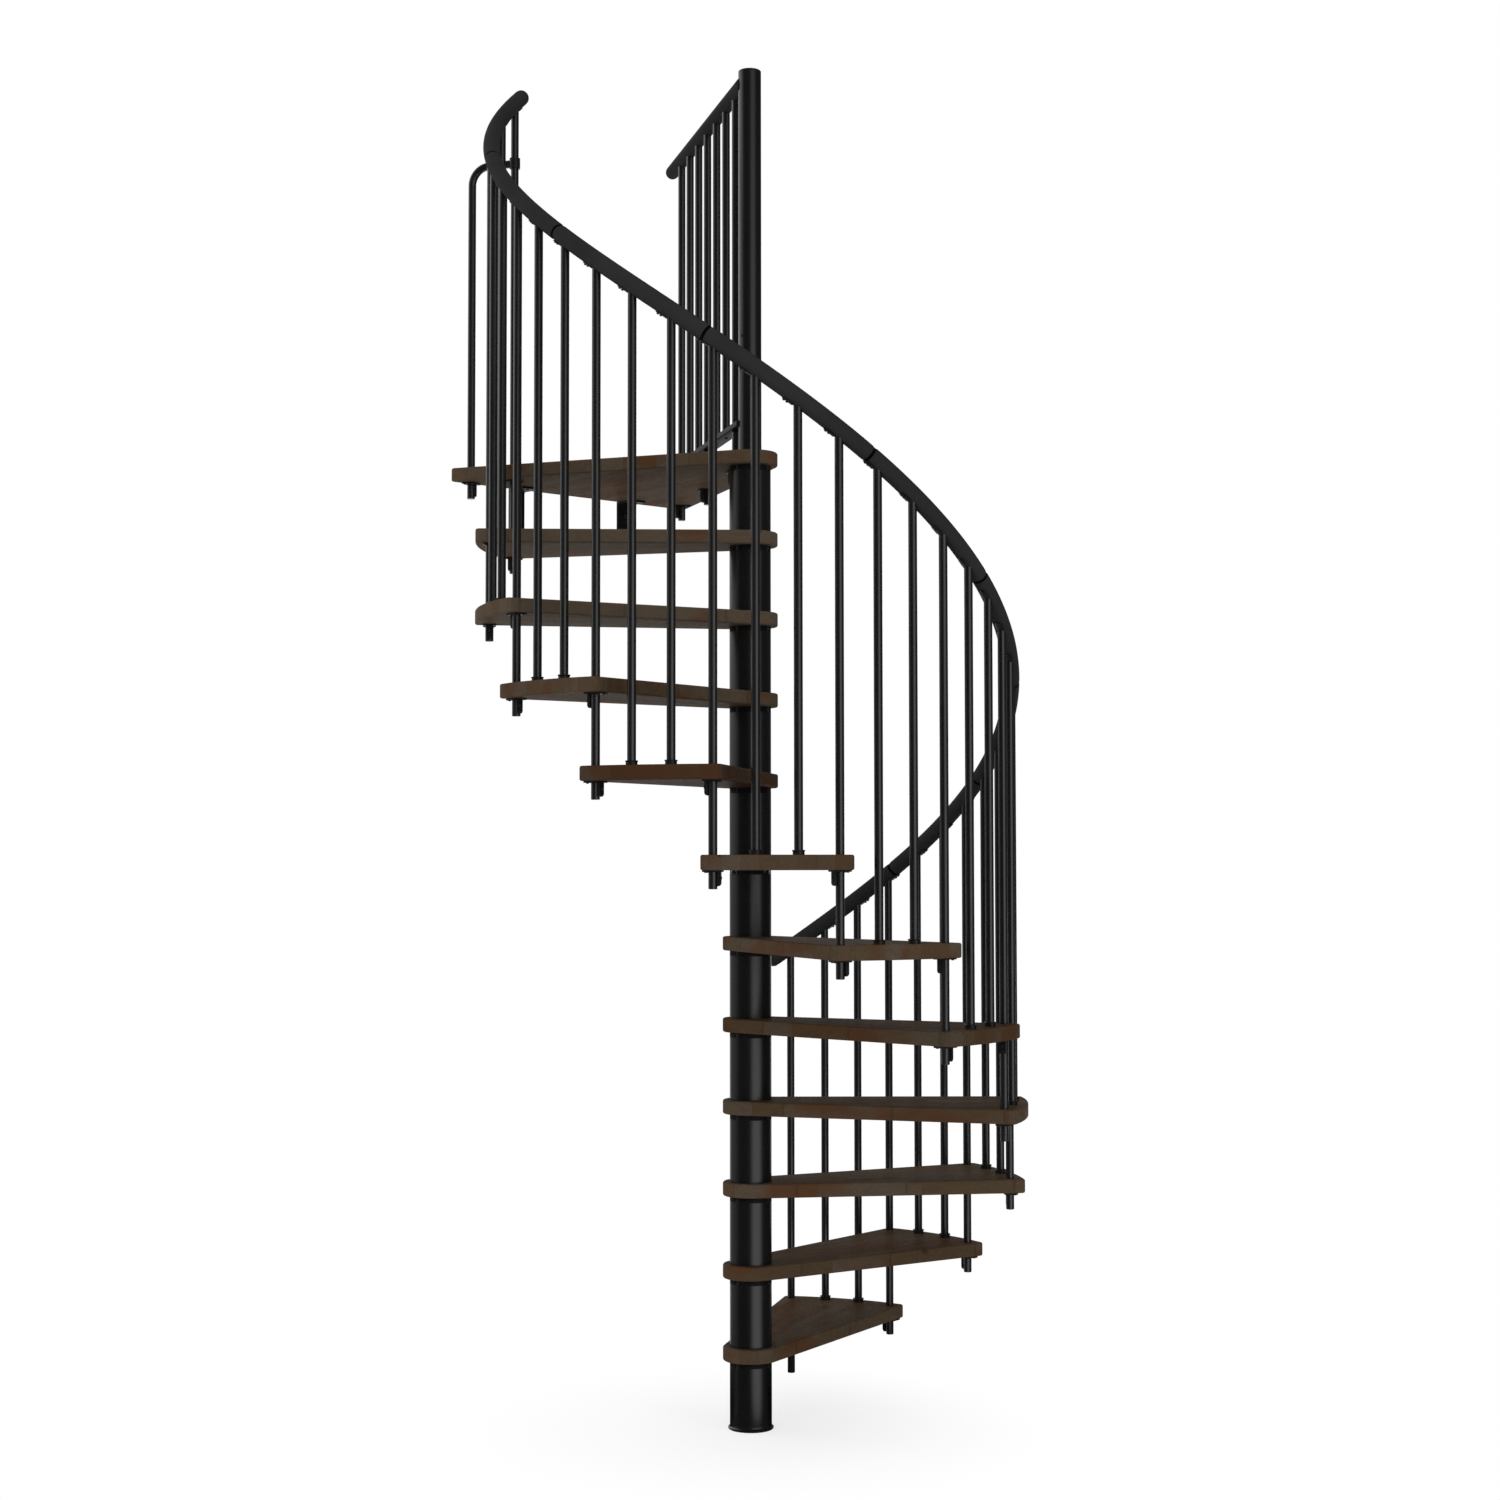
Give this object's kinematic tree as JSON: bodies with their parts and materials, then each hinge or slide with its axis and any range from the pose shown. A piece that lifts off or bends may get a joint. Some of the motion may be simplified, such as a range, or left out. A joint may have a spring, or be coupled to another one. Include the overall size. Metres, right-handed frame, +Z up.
{
  "type": "spiral staircase",
  "caption": "Round spiral staircase: wooden wedge treads stacked on a steel column, tubular balusters and a helical handrail up to a railed corner landing.",
  "frame": {"origin": "centre of the base flange's flat underside, on the floor and on the column's axis", "axes": "+Z up the column, +Y away from the viewer of the picture, +X to the viewer's right; the stair climbs clockwise seen from above"},
  "size_m": [1.5229, 1.5337, 3.5655],
  "materials": {
    "column_paint": "satin black powder coat",
    "baluster_paint": "satin black powder coat",
    "bracket_paint": "semi-matt black powder coat",
    "ring_plastic": "moulded black",
    "cap_plastic": "moulded black",
    "rail_plastic": "satin black moulding",
    "tread_wood": "dark walnut stain, satin lacquer",
    "landing_wood": "dark walnut stain, satin lacquer"
  },
  "bodies": {
    "root": {"adjusting_rings": "ring_plastic", "baluster_brackets": "bracket_paint", "baluster_collars": "cap_plastic", "base_flange": "column_paint", "center_pole": "column_paint", "closing_hoop": "baluster_paint", "column_spacers": "column_paint", "handrail_end_caps": "rail_plastic", "handrail_seam_rings": "cap_plastic", "handrail_segments": "rail_plastic", "hoop_clamp": "bracket_paint", "landing_balusters": "baluster_paint", "landing_bottom_rail": "bracket_paint", "landing_handrail": "rail_plastic", "landing_platform": "landing_wood", "landing_wall_brackets": "bracket_paint", "long_balusters": "baluster_paint", "post_cap": "cap_plastic", "short_balusters": "baluster_paint", "tread_01": "tread_wood", "tread_02": "tread_wood", "tread_03": "tread_wood", "tread_04": "tread_wood", "tread_05": "tread_wood", "tread_06": "tread_wood", "tread_07": "tread_wood", "tread_08": "tread_wood", "tread_09": "tread_wood", "tread_10": "tread_wood", "tread_11": "tread_wood"}
  },
  "joints": []
}
